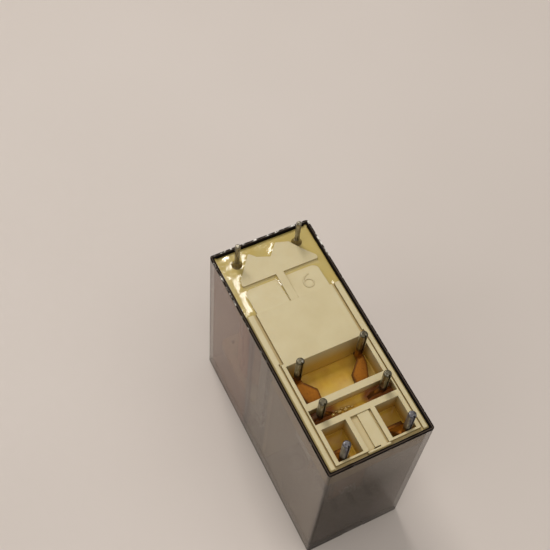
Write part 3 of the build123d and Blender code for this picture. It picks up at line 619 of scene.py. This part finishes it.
def make_coil_end_resin(material):
    """Clear resin pool round the relief, the coil pins and the cover's inner walls."""
    low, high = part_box("coil_end_resin")
    builder = bmesh.new()
    tree = cad_tree("base", "coil_terminal_a1", "coil_terminal_a2")
    region = (low.x, high.x + 0.1 * MM, low.y, high.y)
    liquid = (COIL_END_CLIMB, COIL_END_RIPPLE, COIL_END_GRID)
    resin_solid(builder, tree, region, POOL_RESIN_Z, POOL_FLOOR_Z, *liquid)
    piece = add_piece("coil_end_resin_pool", builder, material)
    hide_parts("coil_end_resin")


def make_well_resin(material):
    """Amber resin in each well and in the channel, climbing the walls and the upright terminal."""
    builder = bmesh.new()
    tree = cad_tree("base", "common_terminal")
    for low, high in loose_boxes("contact_well_resin"):
        region = (low.x, high.x, low.y, high.y)
        resin_solid(builder, tree, region, high.z, low.z, WELL_CLIMB, WELL_RIPPLE, WELL_GRID)
    piece = add_piece("contact_well_resin_pools", builder, material)
    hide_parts("contact_well_resin")


def loose_boxes(node):
    """Boxes of the separate solids in a CAD node, from low x and y to high."""
    builder = bmesh.new()
    builder.from_mesh(NODES[node].data)
    bmesh.ops.remove_doubles(builder, verts=builder.verts, dist=0.001 * MM)
    left = set(builder.verts)
    boxes = []
    while left:
        stack = [left.pop()]
        found = list(stack)
        while stack:
            vertex = stack.pop()
            for edge in vertex.link_edges:
                other = edge.other_vert(vertex)
                if other in left:
                    left.remove(other)
                    stack.append(other)
                    found.append(other)
        points = np.array([v.co[:] for v in found])
        boxes.append((Vector(points.min(0)), Vector(points.max(0))))
    builder.free()
    return sorted(boxes, key=lambda b: (round(b[0].x, 5), round(b[0].y, 5)))


def make_pin_collars(material):
    """Dark resin drawn up each coil pin, as a hollow-sided collar."""
    builder = bmesh.new()
    for node in ("coil_terminal_a1", "coil_terminal_a2"):
        low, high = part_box(node)
        x, y = (low.x + high.x) / 2, (low.y + high.y) / 2
        pin_r = (high.x - low.x) / 2
        base_r = pin_r + COLLAR_REACH
        base_z = POOL_RESIN_Z - COLLAR_SUNK
        top_z = POOL_RESIN_Z + COLLAR_HEIGHT
        inside_pin = pin_r * 0.97
        profile = [(inside_pin, base_z)]
        for k in range(COLLAR_STEPS + 1):
            t = k / COLLAR_STEPS
            swell = (1 - t) ** COLLAR_POWER
            radius = pin_r + COLLAR_LEAST + (base_r - pin_r) * swell
            profile.append((radius, base_z + (top_z - base_z) * t))
        profile.append((inside_pin, top_z + 0.02 * MM))
        lathe(builder, profile, x, y, COLLAR_SEGMENTS)
    piece = add_piece("coil_pin_resin_collars", builder, material)


def make_channel_drops(material):
    """Uneven beads of resin beside the common terminal's sheet, half sunk in the channel's resin.

    Each place is the distance from the sheet's middle plane, the place along it and the bead's radius, in mm.
    """
    low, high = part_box("common_terminal")
    face_x = (low.x + high.x) / 2
    places = [
        (0.1, -2.75, 0.22),
        (0.22, -2.25, 0.27),
        (0.0, -1.8, 0.19),
        (0.2, -1.4, 0.26),
        (-0.05, -1.05, 0.2),
        (0.24, -0.7, 0.28),
        (0.05, -0.3, 0.22),
        (0.2, 0.1, 0.18),
        (0.6, -1.2, 0.24),
        (0.55, -0.35, 0.2),
        (-0.85, -1.0, 0.22),
    ]
    builder = bmesh.new()
    for index, (dx, y, size) in enumerate(places):
        made = bmesh.ops.create_icosphere(builder, subdivisions=4, radius=size * MM)
        centre = Vector((face_x + dx * MM, y * MM, CHANNEL_RESIN_Z + 0.5 * size * MM))
        for vertex in made["verts"]:
            lump = noise.noise(vertex.co / BEAD_LUMP_SIZE + Vector((index * 3.1, 0, 0)))
            vertex.co *= 1 + BEAD_LUMP * lump
            vertex.co.x *= BEAD_SQUASH_X
            vertex.co.z *= BEAD_SQUASH_Z
            vertex.co += centre
    piece = add_piece("channel_resin_drops", builder, material)


# ---------------------------------------------------------------- wound coil
def make_winding_turns(material):
    """The winding with its turns as ridges."""
    low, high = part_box("coil_winding")
    axis_x, axis_y = (low.x + high.x) / 2, (low.y + high.y) / 2
    outer = (high.x - low.x) / 2
    inner = outer - WINDING_DEPTH
    pitch = (high.z - low.z) / WINDING_TURNS
    profile = [(inner, low.z)]
    for k in range(WINDING_TURNS):
        for step in range(RIDGE_STEPS):
            part = (step + 0.5) / RIDGE_STEPS
            dip = RIDGE_HEIGHT * (1 - math.sin(math.pi * part))
            profile.append((outer - dip, low.z + pitch * (k + part)))
    profile.append((inner, high.z))
    builder = bmesh.new()
    lathe(builder, profile, axis_x, axis_y, WINDING_SEGMENTS)
    piece = add_piece("coil_winding_turns", builder, material)
    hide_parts("coil_winding")


# ---------------------------------------------------------------- stage
def make_table(material):
    """Wide floor at the foot of the object."""
    builder = bmesh.new()
    bmesh.ops.create_grid(builder, x_segments=2, y_segments=2, size=TABLE_HALF_SIDE)
    mesh = bpy.data.meshes.new("table")
    builder.to_mesh(mesh)
    builder.free()
    mesh.materials.append(material)
    table = bpy.data.objects.new("table", mesh)
    table.location.z = cad_low.z
    bpy.context.scene.collection.objects.link(table)


def add_lamp(name, place, target, size, power, colour):
    """Square soft lamp that looks at a point, with its size in metres and its power in watts."""
    lamp = bpy.data.lights.new(name, "AREA")
    lamp.size = size
    lamp.energy = power
    lamp.color = colour
    holder = bpy.data.objects.new(name, lamp)
    holder.location = place
    holder.rotation_mode = "QUATERNION"
    aim = Vector(target) - Vector(place)
    holder.rotation_quaternion = aim.to_track_quat("-Z", "Y")
    bpy.context.scene.collection.objects.link(holder)


def light_scene():
    """Key from the coil end, wide overhead and -Y fills, a small lamp for the resin's glints, an even sky."""
    centre = (0, 0, -0.012)
    add_lamp("key", (-0.42, -0.02, 0.58), centre, 0.24, 2.7, WARM_LIGHT)
    add_lamp("overhead", (0.26, 0.10, 0.80), centre, 0.9, 2.8, WARM_LIGHT)
    add_lamp("fill", (0.05, -0.62, 0.45), centre, 0.5, 0.85, (1.0, 0.97, 0.95))
    add_lamp("glint", (-0.29, 0.13, 0.50), centre, 0.008, 0.022, (1.0, 0.98, 0.94))
    world = bpy.data.worlds.new("sky")
    world.use_nodes = True
    background = world.node_tree.nodes["Background"]
    background.inputs["Color"].default_value = SKY_COLOUR
    background.inputs["Strength"].default_value = SKY_STRENGTH
    bpy.context.scene.world = world


def place_camera():
    """Camera from its azimuth, elevation, roll, distance and sideways shifts."""
    azimuth = math.radians(CAMERA_AZIMUTH)
    elevation = math.radians(CAMERA_ELEVATION)
    roll = math.radians(CAMERA_ROLL)
    back = Vector(
        (
            math.sin(azimuth) * math.cos(elevation),
            -math.cos(azimuth) * math.cos(elevation),
            math.sin(elevation),
        )
    )
    right = Vector((0, 0, 1)).cross(back).normalized()
    up = back.cross(right)
    rolled_right = right * math.cos(roll) + up * math.sin(roll)
    rolled_up = up * math.cos(roll) - right * math.sin(roll)
    camera = bpy.data.cameras.new("camera")
    camera.sensor_width = 36
    camera.angle = math.radians(CAMERA_FOV)
    camera.clip_start = 0.005
    camera.clip_end = 20
    holder = bpy.data.objects.new("camera", camera)
    turn = Matrix((rolled_right, rolled_up, back)).transposed().to_4x4()
    place = back * CAMERA_DISTANCE + rolled_right * CAMERA_SHIFT_RIGHT + rolled_up * CAMERA_SHIFT_UP
    holder.matrix_world = Matrix.Translation(place) @ turn
    bpy.context.scene.collection.objects.link(holder)
    bpy.context.scene.camera = holder


# ---------------------------------------------------------------- build
def dress_cad_nodes():
    """Materials of the CAD nodes that are shown as they are."""
    stained_depth = (0.56, 0.35, 0.065)
    cream = moulded_plastic("cream_plastic", (0.60, 0.515, 0.30), (0.42, 0.31, 0.12), 0.46, stained_depth)
    barrier = moulded_plastic("barrier_plastic", (0.58, 0.50, 0.32), (0.40, 0.31, 0.16))
    bobbin = moulded_plastic("bobbin_plastic", (0.68, 0.55, 0.34), (0.46, 0.33, 0.16))
    card = moulded_plastic("card_plastic", (0.74, 0.71, 0.62), (0.52, 0.48, 0.38))
    use(cream, "base")
    use(barrier, "insulating_barrier")
    use(bobbin, "coil_bobbin")
    use(card, "actuator_card")
    use(smoky_cover(), "cover")
    use(pad_ink(), "cover_marking")
    use(terminal_metal(), "common_terminal", "nc_terminal", "no_terminal")
    use(coil_pin_metal(), "coil_terminal_a1", "coil_terminal_a2")
    iron = plain_metal("plated_iron", (0.42, 0.41, 0.39), (0.66, 0.65, 0.62), 0.32)
    use(iron, "magnet_core", "magnet_yoke", "armature")
    steel = plain_metal("spring_steel", (0.50, 0.50, 0.49), (0.76, 0.76, 0.75), 0.24, (1, 1, 0.15))
    use(steel, "armature_spring", "armature_spring_rivets")
    use(plain_metal("brass_sheet", (0.55, 0.38, 0.14), (0.78, 0.60, 0.28), 0.28), "anti_stick_shim")
    bronze = plain_metal("spring_bronze", (0.46, 0.24, 0.10), (0.70, 0.42, 0.20), 0.28, (1, 1, 0.12))
    use(bronze, "common_contact_spring", "common_spring_rivets")
    silver = plain_metal("silver_contact", (0.60, 0.58, 0.54), (0.88, 0.87, 0.84), 0.22)
    use(silver, "moving_contact", "nc_fixed_contact", "no_fixed_contact")
    use(film_tape(), "coil_insulation_tape")


def wind_coil():
    """The winding and its two lead wires, in one wire."""
    wire = wound_wire()
    use(wire, "coil_lead_wires")
    make_winding_turns(wire)


def pour_resins():
    """All cast resin: clear at the coil end, amber in the wells, dark round the coil pins."""
    clear = sealing_resin("clear_resin", (0.70, 0.56, 0.21), (0.57, 0.43, 0.13), 0.72, 0.8)
    leg_tint = (0.25, 0.085, 0.02)
    channel_side_tint = (0.66, 0.50, 0.17)
    well_colours = ((0.66, 0.41, 0.05), (0.44, 0.235, 0.025))
    well_amber = sealing_resin("well_resin", *well_colours, 0.85, 0.15, leg_tint, channel_side_tint)
    amber = sealing_resin("amber_resin", (0.90, 0.70, 0.26), (0.50, 0.30, 0.05), 0.6)
    dark_amber = sealing_resin("dark_amber_resin", (0.27, 0.19, 0.065), (0.12, 0.08, 0.022), 0.85)
    make_coil_end_resin(clear)
    make_well_resin(well_amber)
    make_pin_collars(dark_amber)
    make_channel_drops(amber)


dress_cad_nodes()
wind_coil()
pour_resins()
make_table(table_top())
light_scene()
place_camera()
bpy.context.scene.view_settings.view_transform = "Standard"
